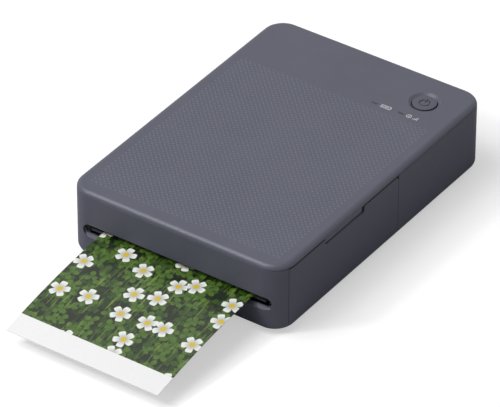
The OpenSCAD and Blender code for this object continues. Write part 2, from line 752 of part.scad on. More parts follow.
module pinion(p, turn) {
  color("#e6e2d6") gear(n_motor, turn, p, 0.75, 1, 0);
  color(steel) rod(gear_x - 0.2, left_x + 12, p, 0.74);
}

module feed_motor() { motor(feed_motor_axis, 22); }

module feed_pinion() { pinion(feed_motor_axis, feed_pinion_turn); }

module pickup_motor() { motor(pickup_motor_axis, 18); }

module pickup_pinion() { pinion(pickup_motor_axis, pickup_pinion_turn); }

module pickup_idler_front() {
  color("#e6e2d6") gear(n_idler, front_idler_turn, front_idler_axis, 1 + run, 2.2, 0.6);
}

module pickup_idler_rear() {
  color("#e6e2d6") gear(n_idler, rear_idler_turn, rear_idler_axis, 1 + run, 2.2, 0.6);
}

module idler_posts() {
  color(steel) for (p = [front_idler_axis, rear_idler_axis]) {
    rod(gear_x - 0.8, left_x, p, 1);
    rod(left_x - plate_t, left_x, p, 1.2);
    rod(gear_x - 0.9, gear_x - 0.3, p, 1.7);
  }
}

module pickup_shaft() {
  color(steel) rod(gear_x - 0.4, right_x + plate_t + 0.4, pickup_axis, shaft_r);
}

module pickup_tyre() {
  color(rubber_black) for (s = [-1, 1]) tube(path_x + s * 12 - 6, path_x + s * 12 + 6, pickup_axis,
      pickup_r, shaft_r);
}

module pickup_gear() {
  color("#e6e2d6") gear(n_pickup, pickup_turn, pickup_axis, shaft_r + tip, 3, 0.6);
}

// Cartridge -----------------------------------------------------------------
module cartridge_shell() {
  cap = 1.2;
  web_z = takeup_axis[1] - housing_r + housing_wall;
  color("#3a3b40") difference() {
    union() {
      for (p = [takeup_axis, supply_axis]) rod(cart_x0, cart_x1, p, housing_r);
      block([right_x + plate_t + 0.3, takeup_axis[0], takeup_axis[1] - housing_r + 0.5],
            [cart_x1, supply_axis[0], takeup_axis[1] + 3]);
    }
    for (p = [takeup_axis, supply_axis]) {
      rod(cart_x0 + cap, cart_x1 - cap, p, housing_r - housing_wall);
      rod(cart_x0 - 1, cart_x0 + cap + 1, p, spool_r + run);
      rod(cart_x1 - cap - 1, cart_x1 + 1, p, spool_r + run);
    }
    block([cart_x0 + 3, takeup_axis[0] + 2, web_z - 0.2], [right_x + plate_t, supply_axis[0] - 2,
        web_z + 0.8]);
  }
}

module spool(p, x0) {
  rod(x0, cart_x1 - 0.2, p, spool_r);
  for (x = [cart_x0 + 1.5, cart_x1 - 2.3]) rod(x, x + 0.8, p, housing_r - housing_wall - 0.3);
}

module ribbon_roll(p, r) {
  tube(path_x - 37, path_x + 37, p, r, spool_r);
}

module supply_spool() { color("#ece8dc") spool(supply_axis, cart_x0 + 0.1); }

module supply_ribbon() { color("#27506e") ribbon_roll(supply_axis, 4.3); }

module takeup_spool() {
  x0 = gear_x + gear_t + 0.6;
  color("#ece8dc") {
    spool(takeup_axis, x0);
    rod(gear_x - 0.2, x0 + 0.1, takeup_axis, 0.78);
  }
}

module takeup_ribbon() { color("#5c2a48") ribbon_roll(takeup_axis, 3.2); }

module takeup_gear() { color("#e6e2d6") gear(n_takeup, takeup_turn, takeup_axis, 0.8, 2.4, 0.6); }

module ribbon_web() {
  web_z = takeup_axis[1] - housing_r + housing_wall + 0.15;
  color("#27506e") block([path_x - 36.5, takeup_axis[0] + 2.5, web_z], [path_x + 36.5, supply_axis[0] - 2.5, web_z + 0.12]);
}

// Paper ---------------------------------------------------------------------
module paper_tray() {
  w = sheet_w / 2 + 0.5;
  spring_y = pickup_axis[0];
  color(inner_grey) difference() {
    union() {
      block([path_x - w - 1.2, tray_y0, tray_z], [path_x + w + 1.2, tray_y1 + 1.2, tray_z + tray_floor_t]);
      for (x = [path_x - w - 1.2, path_x + w]) block([x, stack_y0 + 10, tray_z], [x + 1.2,
          tray_y1 + 1.2, path_z + 2]);
      block([path_x - w - 1.2, tray_y1, tray_z], [path_x + w + 1.2, tray_y1 + 1.2, path_z + 4]);
      for (x = [path_x - w, path_x + w - 3], y = [tray_y0 + 1, tray_y1 - 4])
        block([x, y, floor_z], [x + 3, y + 3, tray_z + 0.5]);
      translate([path_x, spring_y, floor_z]) cylinder(h = tray_z - floor_z + 0.5, r = spring_r + 1.8);
    }
    translate([path_x, spring_y, floor_z + 1]) cylinder(h = 20, r = spring_r + 0.8);
    rod(path_x - w - 2, path_x + w + 2, [lift_pin_y, lift_pin_z], 0.6 + run);
  }
}

module lift_plate() {
  w = sheet_w / 2 - 0.3;
  z = stack_z0 - lift_t;
  color(steel) difference() {
    union() {
      block([path_x - w, stack_y0, z], [path_x + w, stack_y0 + sheet_l - 1, z + lift_t]);
      for (x = [path_x - w, path_x + w - 2]) block([x, lift_pin_y - 1.3, lift_pin_z - 0.9], [x + 2,
          lift_pin_y + 1.3, z + 0.1]);
    }
    rod(path_x - w - 1, path_x + w + 1, [lift_pin_y, lift_pin_z], 0.6 + run);
  }
}

module lift_plate_pin() {
  w = sheet_w / 2 + 1.6;
  color(steel) rod(path_x - w, path_x + w, [lift_pin_y, lift_pin_z], 0.6);
}

module lift_spring() {
  z0 = floor_z + 1;
  color(steel) translate([path_x, pickup_axis[0], z0]) coil(stack_z0 - lift_t - z0 - 0.02, spring_r,
      spring_wire, 5);
}

module paper_stack() {
  color("#f4f3ee") block([path_x - sheet_w / 2, stack_y0, stack_z0], [path_x + sheet_w / 2, stack_y0 + sheet_l, path_z]);
}

// The printed sheet lies level inside and droops outside the slot
droop_slope = 0.045;
droop_curve = 0.0014;
function droop(t) = t < 0 ? 0 : droop_slope * t * min(1, t / 6) + droop_curve * t * t;
module printed_sheet() {
  steps = 24;
  ys = concat([front_y + sheet_l - sheet_out], [for (i = [0 : steps]) front_y - sheet_out * i / steps]);
  color("#3f6b2a") along_x(path_x - sheet_w / 2, [0, path_z + 0.02]) linear_extrude(sheet_w) polygon(concat(
    [for (y = ys) [y, -droop(front_y - y)]],
    [for (i = [len(ys) - 1 : -1 : 0]) [ys[i], sheet_t - droop(front_y - ys[i])]]));
}

// Electronics ---------------------------------------------------------------
battery_y0 = pickup_axis[0] + 7;
module battery_pack() {
  color("#4a5a70") translate([path_x - 17.5, battery_y0 + 20, floor_z]) linear_extrude(5.6) round_rect(36, 40, 2.5);
}

module main_board() {
  y1 = inner_l - 1.2;
  color("#1f5a3c") difference() {
    union() {
      block([path_x + 4, battery_y0, floor_z + 1], [path_x + 33, y1, floor_z + 2]);
      for (x = [path_x + 6, path_x + 28], y = [battery_y0 + 2, y1 - 20])
        block([x, y, floor_z], [x + 3, y + 3, floor_z + 1.5]);
    }
    translate([screw_at[0], screw_at[1], 0]) cylinder(h = 12, r = 3.1);
  }
}

module main_board_part(x, y, w, l, h) {
  block([path_x + x, battery_y0 + y, floor_z + 2], [path_x + x + w, battery_y0 + y + l, floor_z + 2 + h]);
}

module board_chips() {
  color("#202124") {
    main_board_part(10, 8, 12, 12, 1.2);
    main_board_part(25, 9, 6, 8, 1);
    main_board_part(8, 26, 7, 5, 1);
    main_board_part(20, 28, 9, 7, 2.4);
    for (i = [0 : 4]) main_board_part(6 + 5 * i, 2, 2, 1.2, 0.8);
  }
}

module usb_socket() {
  y0 = inner_l - 6.2;
  color(steel) difference() {
    translate([usb_x, half_l - 0.4, usb_z]) rotate([90, 0, 0]) linear_extrude(half_l - 0.4 - y0)
        usb_outline(0);
    translate([usb_x, half_l, usb_z]) rotate([90, 0, 0]) linear_extrude(6) usb_outline(-0.35);
  }
  color(rubber_black) block([usb_x - 3.2, y0 + 1, usb_z - 0.35], [usb_x + 3.2, half_l - 1.2, usb_z + 0.35]);
}

lower_case();
rubber_feet();
case_screws();
cartridge_door();
door_hinge_pins();
top_cover();
cover_liner();
liner_screws();
cover_hinge_pins();
power_button();
indicator_windows();
button_board();
button_switch();
indicator_lamps();
left_plate();
right_plate();
cross_rods();
shaft_bushes();
lower_guide();
upper_guide();
feed_roller();
feed_gear();
pinch_roller();
pinch_bearings();
pinch_bracket();
pinch_springs();
platen_shaft();
platen_rubber();
head_arm();
head_pivot();
heat_sink();
thermal_head();
head_springs();
feed_motor();
feed_pinion();
pickup_motor();
pickup_pinion();
pickup_idler_front();
pickup_idler_rear();
idler_posts();
pickup_shaft();
pickup_tyre();
pickup_gear();
cartridge_shell();
supply_spool();
supply_ribbon();
takeup_spool();
takeup_ribbon();
takeup_gear();
ribbon_web();
paper_tray();
lift_plate();
lift_plate_pin();
lift_spring();
paper_stack();
printed_sheet();
battery_pack();
main_board();
board_chips();
usb_socket();
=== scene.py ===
"""Looks of the compact photo printer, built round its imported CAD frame. Metres, +Z up."""

import logging
import math
from dataclasses import dataclass
from enum import Enum
from typing import Any, Dict, List, Sequence, Tuple

import bpy
import numpy as np
from mathutils import Matrix, Vector


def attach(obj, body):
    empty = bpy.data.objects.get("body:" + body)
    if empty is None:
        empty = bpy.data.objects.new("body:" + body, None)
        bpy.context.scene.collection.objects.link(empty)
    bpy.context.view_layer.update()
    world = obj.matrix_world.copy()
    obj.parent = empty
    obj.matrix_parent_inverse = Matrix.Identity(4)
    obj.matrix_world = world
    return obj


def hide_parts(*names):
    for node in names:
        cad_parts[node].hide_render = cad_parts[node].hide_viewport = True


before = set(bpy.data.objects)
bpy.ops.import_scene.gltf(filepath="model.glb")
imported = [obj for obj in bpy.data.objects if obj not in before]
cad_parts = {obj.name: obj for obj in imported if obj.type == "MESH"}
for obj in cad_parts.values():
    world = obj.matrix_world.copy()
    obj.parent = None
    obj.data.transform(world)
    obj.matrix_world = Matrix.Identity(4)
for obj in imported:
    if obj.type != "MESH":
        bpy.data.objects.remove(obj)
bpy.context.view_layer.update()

LOG = logging.getLogger("photo_printer")
MM = 0.001  # metres
Array = np.ndarray
Tree = bpy.types.NodeTree
Socket = bpy.types.NodeSocket
Material = bpy.types.Material
Object = bpy.types.Object
Plate = Tuple[Array, List[List[int]]]  # points and faces
WHITE = "#ffffff"
NOISE_SPAN = (0.3, 0.7)  # where almost all values of a noise lie
PATCH_SPAN = (0.35, 0.65)  # narrower, so that patches reach both of their colours
ROUGHNESS_SPREAD = 0.05
BUMP_STRENGTH = 0.5


def linear(hex_colour: str) -> Tuple[float, float, float, float]:
    """Turns an sRGB hex colour into linear red, green, blue and alpha 1.

    Args:
        hex_colour: six hex digits after a '#'.
    Returns:
        The linear colour.
    """
    parts = [int(hex_colour[i:i + 2], 16) / 255 for i in (1, 3, 5)]
    line = [c / 12.92 if c <= 0.04045 else ((c + 0.055) / 1.055) ** 2.4 for c in parts]
    return (line[0], line[1], line[2], 1.0)


def per_metre(size_mm: float) -> float:
    """Texture scale that gives features of the given size in millimetres."""
    return 1 / (size_mm * MM)


def add_node(tree: Tree, kind: str, inputs: Dict[Any, Any], **settings: Any) -> bpy.types.Node:
    """Adds a node, sets it up and links it.

    Args:
        tree: the tree that takes the node.
        kind: the node's type name without its ShaderNode prefix.
        inputs: for each input's name or number, a value or another node's output socket.
        settings: the node's own properties.
    Returns:
        The new node.
    """
    node = tree.nodes.new("ShaderNode" + kind)
    for name, value in settings.items():
        setattr(node, name, value)
    for key, value in inputs.items():
        if isinstance(value, Socket):
            tree.links.new(value, node.inputs[key])
        else:
            node.inputs[key].default_value = value
    return node


def compute(tree: Tree, operation: str, *values: Any) -> Socket:
    """Adds a Math node.

    Args:
        tree: the tree that takes the node.
        operation: what the node works out.
        values: its inputs in order, each a number or a socket.
    Returns:
        The result's socket.
    """
    return add_node(tree, "Math", dict(enumerate(values)), operation=operation).outputs[0]


def ramp(tree: Tree, value: Socket, start: float, end: float, low: Any = 0.0, high: Any = 1.0) -> Socket:
    """Adds a Map Range node, which goes from low to high while the value goes from start to end.

    Args:
        tree: the tree that takes the node.
        value: the value to follow.
        start: the value where the result is low.
        end: the value where the result is high.
        low: the result up to the start.
        high: the result from the end on.
    Returns:
        The result's socket.
    """
    return add_node(tree, "MapRange", {0: value, 1: start, 2: end, 3: low, 4: high}).outputs[0]


def blend(tree: Tree, share: Socket, under: Any, over: Any) -> Socket:
    """Adds a colour Mix node.

    Args:
        tree: the tree that takes the node.
        share: how much of the second colour is taken, 0 to 1.
        under: the first colour, linear or a socket.
        over: the second colour, linear or a socket.
    Returns:
        The mixed colour's socket.
    """
    return add_node(tree, "Mix", {0: share, 6: under, 7: over}, data_type="RGBA").outputs[2]


class Grain(Enum):
    """How a surface was made, which decides its fine pattern."""

    MOULDED = "moulded"
    BRUSHED = "brushed"
    POLISHED = "polished"
    WOUND = "wound"


@dataclass(frozen=True)
class Finish:
    """A material with one base colour, a soft variation of it and a fine grain in its bump and roughness.

    The grain and the patches of the shade have the given sizes, and relief is the height of the grain.
    """

    name: str
    colour: str
    shade: str
    roughness: float
    grain: Grain = Grain.MOULDED
    metallic: float = 0.0
    ior: float = 1.5
    grain_mm: float = 0.6
    relief_mm: float = 0.02
    patch_mm: float = 22.0
    coat: float = 0.0
    specular: float = 0.5

    def stretch(self) -> Tuple[float, float, float]:
        """Scale of the grain along X, Y and Z: drawn out along X where brushed, and in rings where wound."""
        return {
            Grain.BRUSHED: (0.05, 1.0, 1.0),
            Grain.WOUND: (3.0, 0.1, 0.1),
        }.get(self.grain, (1.0, 1.0, 1.0))

    def colour_socket(self, tree: Tree, where: Socket) -> Socket:
        """Base colour: a soft mix of the colour and its shade over patches.

        Args:
            tree: the material's tree.
            where: Object coordinates in metres.
        Returns:
            The socket that carries the colour.
        """
        patches = add_node(tree, "TexNoise", {"Vector": where, "Scale": per_metre(self.patch_mm),
                                              "Detail": 3.0})
        spread = ramp(tree, patches.outputs[0], *PATCH_SPAN)
        return blend(tree, spread, linear(self.colour), linear(self.shade))

    def relief_socket(self, tree: Tree, where: Socket) -> Socket:
        """Height of the fine grain, from 0 to 1.

        Args:
            tree: the material's tree.
            where: Object coordinates in metres.
        Returns:
            The socket that carries the height.
        """
        placed = add_node(tree, "Mapping", {"Vector": where, "Scale": self.stretch()})
        noise = add_node(tree, "TexNoise", {"Vector": placed.outputs[0], "Scale": per_metre(self.grain_mm),
                                            "Detail": 2.0, "Roughness": 0.55})
        return noise.outputs[0]

    def build(self) -> Material:
        """Makes the material.

        Returns:
            The finished material.
        """
        material = bpy.data.materials.new(self.name)
        material.use_nodes = True
        tree = material.node_tree
        shader = tree.nodes["Principled BSDF"]
        where = add_node(tree, "TexCoord", {}).outputs["Object"]
        relief = self.relief_socket(tree, where)
        rough = ramp(tree, relief, *NOISE_SPAN, self.roughness - ROUGHNESS_SPREAD,
                     self.roughness + ROUGHNESS_SPREAD)
        bump = add_node(tree, "Bump", {"Height": relief, "Strength": BUMP_STRENGTH,
                                       "Distance": self.relief_mm * MM})
        tree.links.new(self.colour_socket(tree, where), shader.inputs["Base Color"])
        tree.links.new(rough, shader.inputs["Roughness"])
        tree.links.new(bump.outputs[0], shader.inputs["Normal"])
        for name, value in (("Metallic", self.metallic), ("IOR", self.ior), ("Coat Weight", self.coat),
                            ("Specular IOR Level", self.specular)):
            shader.inputs[name].default_value = value
        return material


@dataclass(frozen=True)
class DottedPlastic(Finish):
    """Moulded plastic with a field of fine raised dots on its top, each dot also coloured lighter as a painted
    highlight.

    The dots' edge rises from 0 at the first of its two shares of a dot's radius to full height at the second.
    """

    pitch_mm: float = 2.29
    dot_mm: float = 0.86
    small_dot_mm: float = 0.74
    small_dot_height: float = 0.8
    edge: Tuple[float, float] = (1.25, 0.7)
    # Painted highlight: each dot is coloured lighter than the plastic to stand in for the light it catches
    dot_painted_highlight: str = "#656878"
    field_mm: Tuple[float, float, float, float] = (-45.3, 45.3, -66.3, 39.5)
    top_mm: float = 32.7

    def dots(self, tree: Tree, where: Socket, shift: float, across: float) -> Socket:
        """Round dots on a square lattice: 1 inside a dot and 0 between the dots.

        Args:
            tree: the material's tree.
            where: Object coordinates in metres.
            shift: shift of the lattice along X and Y, in pitches.
            across: a dot's diameter in millimetres.
        Returns:
            The socket that carries the dots' height.
        """
        scale = per_metre(self.pitch_mm)
        cell = add_node(tree, "Mapping", {"Vector": where, "Scale": (scale, scale, 0.0),
                                          "Location": (shift, shift, 0.0)})
        part = add_node(tree, "VectorMath", {0: cell.outputs[0]}, operation="FRACTION")
        centred = add_node(tree, "VectorMath", {0: part.outputs[0], 1: (0.5, 0.5, 0.0)}, operation="SUBTRACT")
        away = add_node(tree, "VectorMath", {0: centred.outputs[0]}, operation="LENGTH")
        radius = across / 2 / self.pitch_mm
        return ramp(tree, away.outputs["Value"], radius * self.edge[0], radius * self.edge[1])

    def field_socket(self, tree: Tree, where: Socket) -> Socket:
        """The dots inside the field's rectangle, with a small one in the middle of each four, and 0 outside it.

        Args:
            tree: the material's tree.
            where: Object coordinates in metres.
        Returns:
            The socket that carries the masked dots.
        """
        split = add_node(tree, "SeparateXYZ", {0: where})
        large, small = self.dots(tree, where, 0.0, self.dot_mm), self.dots(tree, where, 0.5, self.small_dot_mm)
        value = compute(tree, "MAXIMUM", large, compute(tree, "MULTIPLY", small, self.small_dot_height))
        x0, x1, y0, y1 = self.field_mm
        for axis, low, high in ((0, x0, x1), (1, y0, y1), (2, self.top_mm, 2 * self.top_mm)):
            for limit, kind in ((low, "GREATER_THAN"), (high, "LESS_THAN")):
                inside = compute(tree, kind, split.outputs[axis], limit * MM)
                value = compute(tree, "MULTIPLY", value, inside)
        return value

    def colour_socket(self, tree: Tree, where: Socket) -> Socket:
        """The plastic's own colour, with a painted highlight that lightens each dot."""
        base = super().colour_socket(tree, where)
        return blend(tree, self.field_socket(tree, where), base, linear(self.dot_painted_highlight))

    def relief_socket(self, tree: Tree, where: Socket) -> Socket:
        """The moulded grain with the dots standing on it."""
        grain = super().relief_socket(tree, where)
        return compute(tree, "ADD", grain, self.field_socket(tree, where))


@dataclass(frozen=True)
class BlossomPrint(Finish):
    """Glossy photo print: white five-petalled blossoms with yellow hearts over clover-green leaves.

    A layer of leaves has a shift, which is its turn as well, a size and a green. A layer of stalks has a lean
    and a tint. Bare is the share of centres left empty, and scattered how far they stray from a square grid. A
    petal's gap is the radius between two petals, as a share of the blossom's. A leaf's reach is its radius
    between two lobes and at a tip, as shares of the pitch.
    """

    width_mm: float = 72.0
    length_mm: float = 85.0
    border_mm: float = 10.0
    border_white: str = "#f7f6f6"
    edge_mm: float = 0.15
    blossom_pitch_mm: float = 12.5
    blossom_r_mm: float = 4.3
    blossom_petals: int = 5
    blossoms_bare: float = 0.25
    blossoms_scattered: float = 0.75
    petal_gap: float = 0.45
    petal_tip_lobe: float = 0.75
    petal_shade: str = "#bcc2b4"
    petal_shade_end: float = 0.8
    petal_white: str = "#f4f5f2"
    heart_r_mm: float = 1.15
    heart_edge_mm: float = 0.12
    heart_yellow: str = "#e3bd2c"
    ground_green: str = "#131f0b"
    leaf_mm: float = 5.5
    leaf_lobes: int = 3
    leaf_reach: Tuple[float, float] = (0.08, 0.62)
    leaf_middle: float = 0.55
    leaf_middle_end: float = 0.6
    leaves_bare: float = 0.3
    leaf_layers: Tuple[Tuple[float, float, str], ...] = ((0.0, 0.8, "#25390f"), (17.0, 1.0, "#38551b"),
                                                         (41.0, 0.9, "#54742b"))
    leaf_slant: float = 0.7
    stalk_layers: Tuple[Tuple[float, str], ...] = ((0.5, "#76903f"), (-0.9, "#4b6824"))
    stalk_stretch: Tuple[float, float, float] = (0.9, 0.09, 1.0)
    stalk_crest: Tuple[float, float] = (0.6, 0.68)
    stalk_cover: float = 0.8

    def plane(self, tree: Tree) -> Socket:
        """Place on the paper in millimetres, from the sheet's own UV map."""
        uv = add_node(tree, "TexCoord", {}).outputs["UV"]
        scaled = add_node(tree, "Mapping", {"Vector": uv, "Scale": (self.width_mm, self.length_mm, 0.0)})
        return scaled.outputs[0]

    def lobes(self, tree: Tree, place: Socket, pitch: float, count: int, jitter: float) -> Dict[str, Socket]:
        """Distance from the nearest scattered centre, the lobe's height there and the centre's random colour.

        The lobe's height is the absolute cosine of half the lobe count times the turned bearing.

        Args:
            tree: the material's tree.
            place: the place in millimetres.
            pitch: the mean distance between centres, in millimetres.
            count: the number of lobes.
            jitter: how far the centres stray from a square grid, 0 to 1.
        Returns:
            The sockets "r", "lobe" and "random".
        """
        cells = add_node(tree, "TexVoronoi", {"Vector": place, "Scale": 1 / pitch, "Randomness": jitter},
                         voronoi_dimensions="2D")
        offset = add_node(tree, "VectorMath", {0: place, 1: cells.outputs["Position"]}, operation="SUBTRACT")
        radius = add_node(tree, "VectorMath", {0: offset.outputs[0]}, operation="LENGTH").outputs["Value"]
        split = add_node(tree, "SeparateXYZ", {0: offset.outputs[0]})
        random = add_node(tree, "SeparateColor", {0: cells.outputs["Color"]})
        bearing = compute(tree, "ARCTAN2", split.outputs[1], split.outputs[0])
        turned = compute(tree, "MULTIPLY_ADD", random.outputs[0], math.tau, bearing)
        wave = compute(tree, "COSINE", compute(tree, "MULTIPLY", turned, count / 2))
        return {"r": radius, "lobe": compute(tree, "ABSOLUTE", wave), "random": random.outputs[1]}

    def inside(self, tree: Tree, radius: Socket, limit: Any, soft: float) -> Socket:
        """A disc's mask.

        Args:
            tree: the material's tree.
            radius: the distance from the disc's middle.
            limit: the disc's radius, a number or a socket.
            soft: how far its edge is soft on each side, in millimetres.
        Returns:
            The socket that is 1 inside and 0 outside.
        """
        return ramp(tree, compute(tree, "SUBTRACT", limit, radius), -soft, soft)

    def some(self, tree: Tree, mask: Socket, random: Socket, bare: float) -> Socket:
        """The mask with the given share of its centres left empty."""
        return compute(tree, "MULTIPLY", mask, compute(tree, "GREATER_THAN", random, bare))

    def leaves(self, tree: Tree, place: Socket) -> Socket:
        """Lobed leaves in layers of green over a dark ground, each layer lighter than the one under it."""
        colour: Any = linear(self.ground_green)
        for shift, size, green in self.leaf_layers:
            pitch = self.leaf_mm * size
            moved = add_node(tree, "Mapping", {"Vector": place, "Rotation": (0.0, 0.0, shift),
                                               "Location": (shift, shift * self.leaf_slant, 0.0)}).outputs[0]
            cell = self.lobes(tree, moved, pitch, self.leaf_lobes, 1.0)
            gap, tip = (pitch * share for share in self.leaf_reach)
            reach = ramp(tree, cell["lobe"], 0.0, 1.0, gap, tip)
            mask = self.some(tree, self.inside(tree, cell["r"], reach, self.edge_mm), cell["random"],
                             self.leaves_bare)
            fade = ramp(tree, cell["r"], 0.0, pitch * self.leaf_middle_end, self.leaf_middle, 1.0)
            colour = blend(tree, compute(tree, "MULTIPLY", mask, fade), colour, linear(green))
        return colour

    def stalks(self, tree: Tree, place: Socket, under: Socket) -> Socket:
        """Thin pale stalks: the crests of drawn-out noises, one for each lean."""
        colour = under
        for lean, tint in self.stalk_layers:
            drawn = add_node(tree, "Mapping", {"Vector": place, "Rotation": (0.0, 0.0, lean),
                                               "Scale": self.stalk_stretch})
            noise = add_node(tree, "TexNoise", {"Vector": drawn.outputs[0], "Scale": 1.0, "Detail": 2.0})
            crest = ramp(tree, noise.outputs[0], *self.stalk_crest, 0.0, self.stalk_cover)
            colour = blend(tree, crest, colour, linear(tint))
        return colour

    def blossoms(self, tree: Tree, place: Socket, under: Socket) -> Socket:
        """Scattered blossoms: petals that whiten from the heart outwards, and the yellow heart."""
        cell = self.lobes(tree, place, self.blossom_pitch_mm, self.blossom_petals, self.blossoms_scattered)
        reach = ramp(tree, cell["lobe"], 0.0, self.petal_tip_lobe, self.blossom_r_mm * self.petal_gap,
                     self.blossom_r_mm)
        petals = self.some(tree, self.inside(tree, cell["r"], reach, self.edge_mm), cell["random"],
                           self.blossoms_bare)
        tone = ramp(tree, cell["r"], self.heart_r_mm, self.blossom_r_mm * self.petal_shade_end)
        white = blend(tree, tone, linear(self.petal_shade), linear(self.petal_white))
        colour = blend(tree, petals, under, white)
        heart = self.some(tree, self.inside(tree, cell["r"], self.heart_r_mm, self.heart_edge_mm),
                          cell["random"], self.blossoms_bare)
        return blend(tree, heart, colour, linear(self.heart_yellow))

    def colour_socket(self, tree: Tree, where: Socket) -> Socket:
        """Leaves, stalks and blossoms, and the bare white leading edge."""
        place = self.plane(tree)
        colour = self.blossoms(tree, place, self.stalks(tree, place, self.leaves(tree, place)))
        along = add_node(tree, "SeparateXYZ", {0: place}).outputs[1]
        bare = compute(tree, "LESS_THAN", along, self.border_mm)
        return blend(tree, bare, colour, linear(self.border_white))


# Finishes: each is named for the real material ---------------------------------------------------
# Blue-grey ABS, spark-eroded: the light rolls off softly and no reflection is sharp
CASE_ABS = Finish("moulded_abs_case", "#545562", "#505160", 0.55, ior=1.53, specular=0.32)
# The same ABS a little glossier, with raised dots that catch light partly through their bump and partly through
# a painted highlight in their colour
# Painted shade: its colour is set a little darker than the case's, so the top reads darker than the lamps alone
# make it
COVER_ABS = DottedPlastic("moulded_abs_cover", "#4e505f", "#4a4c5b", 0.43, ior=1.53, specular=0.5,
                          relief_mm=0.14)
# Finer grain than the cover, so the button reads as a separate moulding
BUTTON_ABS = Finish("moulded_abs_button", "#535460", "#4f505c", 0.46, ior=1.53, grain_mm=0.4,
                    specular=0.35)
# Near-black ABS that keeps the open compartment dark
INNER_ABS = Finish("moulded_abs_inner", "#2c2d31", "#27282c", 0.55, ior=1.53)
# Dark grey ABS, a shade lighter than the chassis behind it
CARTRIDGE_ABS = Finish("moulded_abs_cartridge", "#3d3e44", "#38393f", 0.5, ior=1.53)
# Ivory, slightly waxy gears that stand out from the steel plates
ACETAL = Finish("natural_acetal", "#e4dfd0", "#d8d2c2", 0.38, ior=1.48, grain_mm=0.9)
# Black rubber without a highlight on rollers and feet
RUBBER = Finish("nitrile_rubber", "#222225", "#1c1c1f", 0.82, ior=1.52, grain_mm=0.35, relief_mm=0.03)
# Pressed zinc-plated sheet with drawn streaks along its length
ZINC_STEEL = Finish("zinc_plated_steel", "#b4b8bc", "#a6aaaf", 0.34, Grain.BRUSHED, metallic=1.0,
                    grain_mm=0.3)
# Turned shafts with fine rings round their axis
GROUND_STEEL = Finish("ground_steel_roller", "#a9adb1", "#9fa3a8", 0.3, Grain.WOUND, metallic=1.0,
                      grain_mm=0.4, relief_mm=0.004)
# Bright wire with a sharp thin highlight
SPRING_WIRE = Finish("drawn_spring_wire", "#c3c6c9", "#b6b9bd", 0.25, Grain.POLISHED, metallic=1.0)
# Warm dull bushes in the plates
BRONZE = Finish("sintered_bronze", "#9a7440", "#8a6736", 0.5, metallic=1.0, grain_mm=0.3)
# Pale brushed extrusion with a broad streaked shine
ALUMINIUM = Finish("extruded_aluminium", "#cfd2d4", "#c3c6c9", 0.32, Grain.BRUSHED, metallic=1.0,
                   grain_mm=0.35)
# Cream glaze with a hard gloss on the heating strip
CERAMIC = Finish("glazed_ceramic", "#d9ccb0", "#cfc1a2", 0.2, Grain.POLISHED, ior=1.6, coat=0.4)
# Almost black windows with a small sharp reflection
SMOKED = Finish("smoked_polycarbonate", "#17171a", "#121215", 0.14, Grain.POLISHED, ior=1.58)
# Green lacquer, patchy over the copper and glossy
SOLDER_MASK = Finish("green_solder_mask", "#1e5f3c", "#1a5535", 0.3, Grain.POLISHED, patch_mm=4.0,
                     coat=0.3)
# Charcoal chips without gloss
EPOXY_CHIP = Finish("black_epoxy_moulding", "#26272a", "#212225", 0.6, grain_mm=0.3)
# Pale glassy lamp lenses
CLEAR_EPOXY = Finish("clear_epoxy_lamp", "#e9e5cf", "#dfdac2", 0.12, Grain.POLISHED)
# Smooth thin film, deep blue with a clear sheen
DYE_BLUE = Finish("dye_ribbon_blue", "#27506e", "#20435d", 0.2, Grain.POLISHED, grain_mm=3.0,
                  relief_mm=0.01)
# The used film, wine red with the same sheen
DYE_WINE = Finish("dye_ribbon_wine", "#5c2a48", "#4f223d", 0.2, Grain.POLISHED, grain_mm=3.0,
                  relief_mm=0.01)
# White coated paper with a satin surface
BLANK_PAPER = Finish("coated_paper_stack", "#f2f1ec", "#e6e5e0", 0.35, grain_mm=0.25)
# Gloss over the printed leaves and blossoms
PRINT = BlossomPrint("glossy_photo_print", WHITE, WHITE, 0.3, Grain.POLISHED, relief_mm=0.002)
# Blue-grey film drawn tight over the cells
SHRINK_FILM = Finish("battery_shrink_film", "#3f5570", "#384c66", 0.24, Grain.POLISHED)
# Flat off-white ink
WHITE_INK = Finish("white_pad_print", "#d7d8da", "#cfd0d2", 0.55)

NODE_FINISHES: Dict[Finish, str] = {
    CASE_ABS: "lower_case cartridge_door",
    COVER_ABS: "top_cover",
    BUTTON_ABS: "power_button",
    INNER_ABS: "cover_liner lower_guide upper_guide paper_tray pinch_bearings",
    CARTRIDGE_ABS: "cartridge_shell",
    ACETAL: "feed_gear feed_pinion pickup_pinion pickup_idler_front pickup_idler_rear pickup_gear "
            "takeup_gear supply_spool takeup_spool",
    RUBBER: "rubber_feet pinch_roller platen_rubber pickup_tyre",
    ZINC_STEEL: "case_screws liner_screws door_hinge_pins cover_hinge_pins left_plate right_plate "
                "pinch_bracket head_arm feed_motor pickup_motor lift_plate usb_socket button_switch",
    GROUND_STEEL: "cross_rods feed_roller platen_shaft head_pivot idler_posts pickup_shaft lift_plate_pin",
    SPRING_WIRE: "pinch_springs head_springs lift_spring",
    BRONZE: "shaft_bushes",
    ALUMINIUM: "heat_sink",
    CERAMIC: "thermal_head",
    SMOKED: "indicator_windows",
    SOLDER_MASK: "button_board main_board",
    EPOXY_CHIP: "board_chips",
    CLEAR_EPOXY: "indicator_lamps",
    DYE_BLUE: "supply_ribbon ribbon_web",
    DYE_WINE: "takeup_ribbon",
    BLANK_PAPER: "paper_stack",
    PRINT: "printed_sheet",
    SHRINK_FILM: "battery_pack",
}


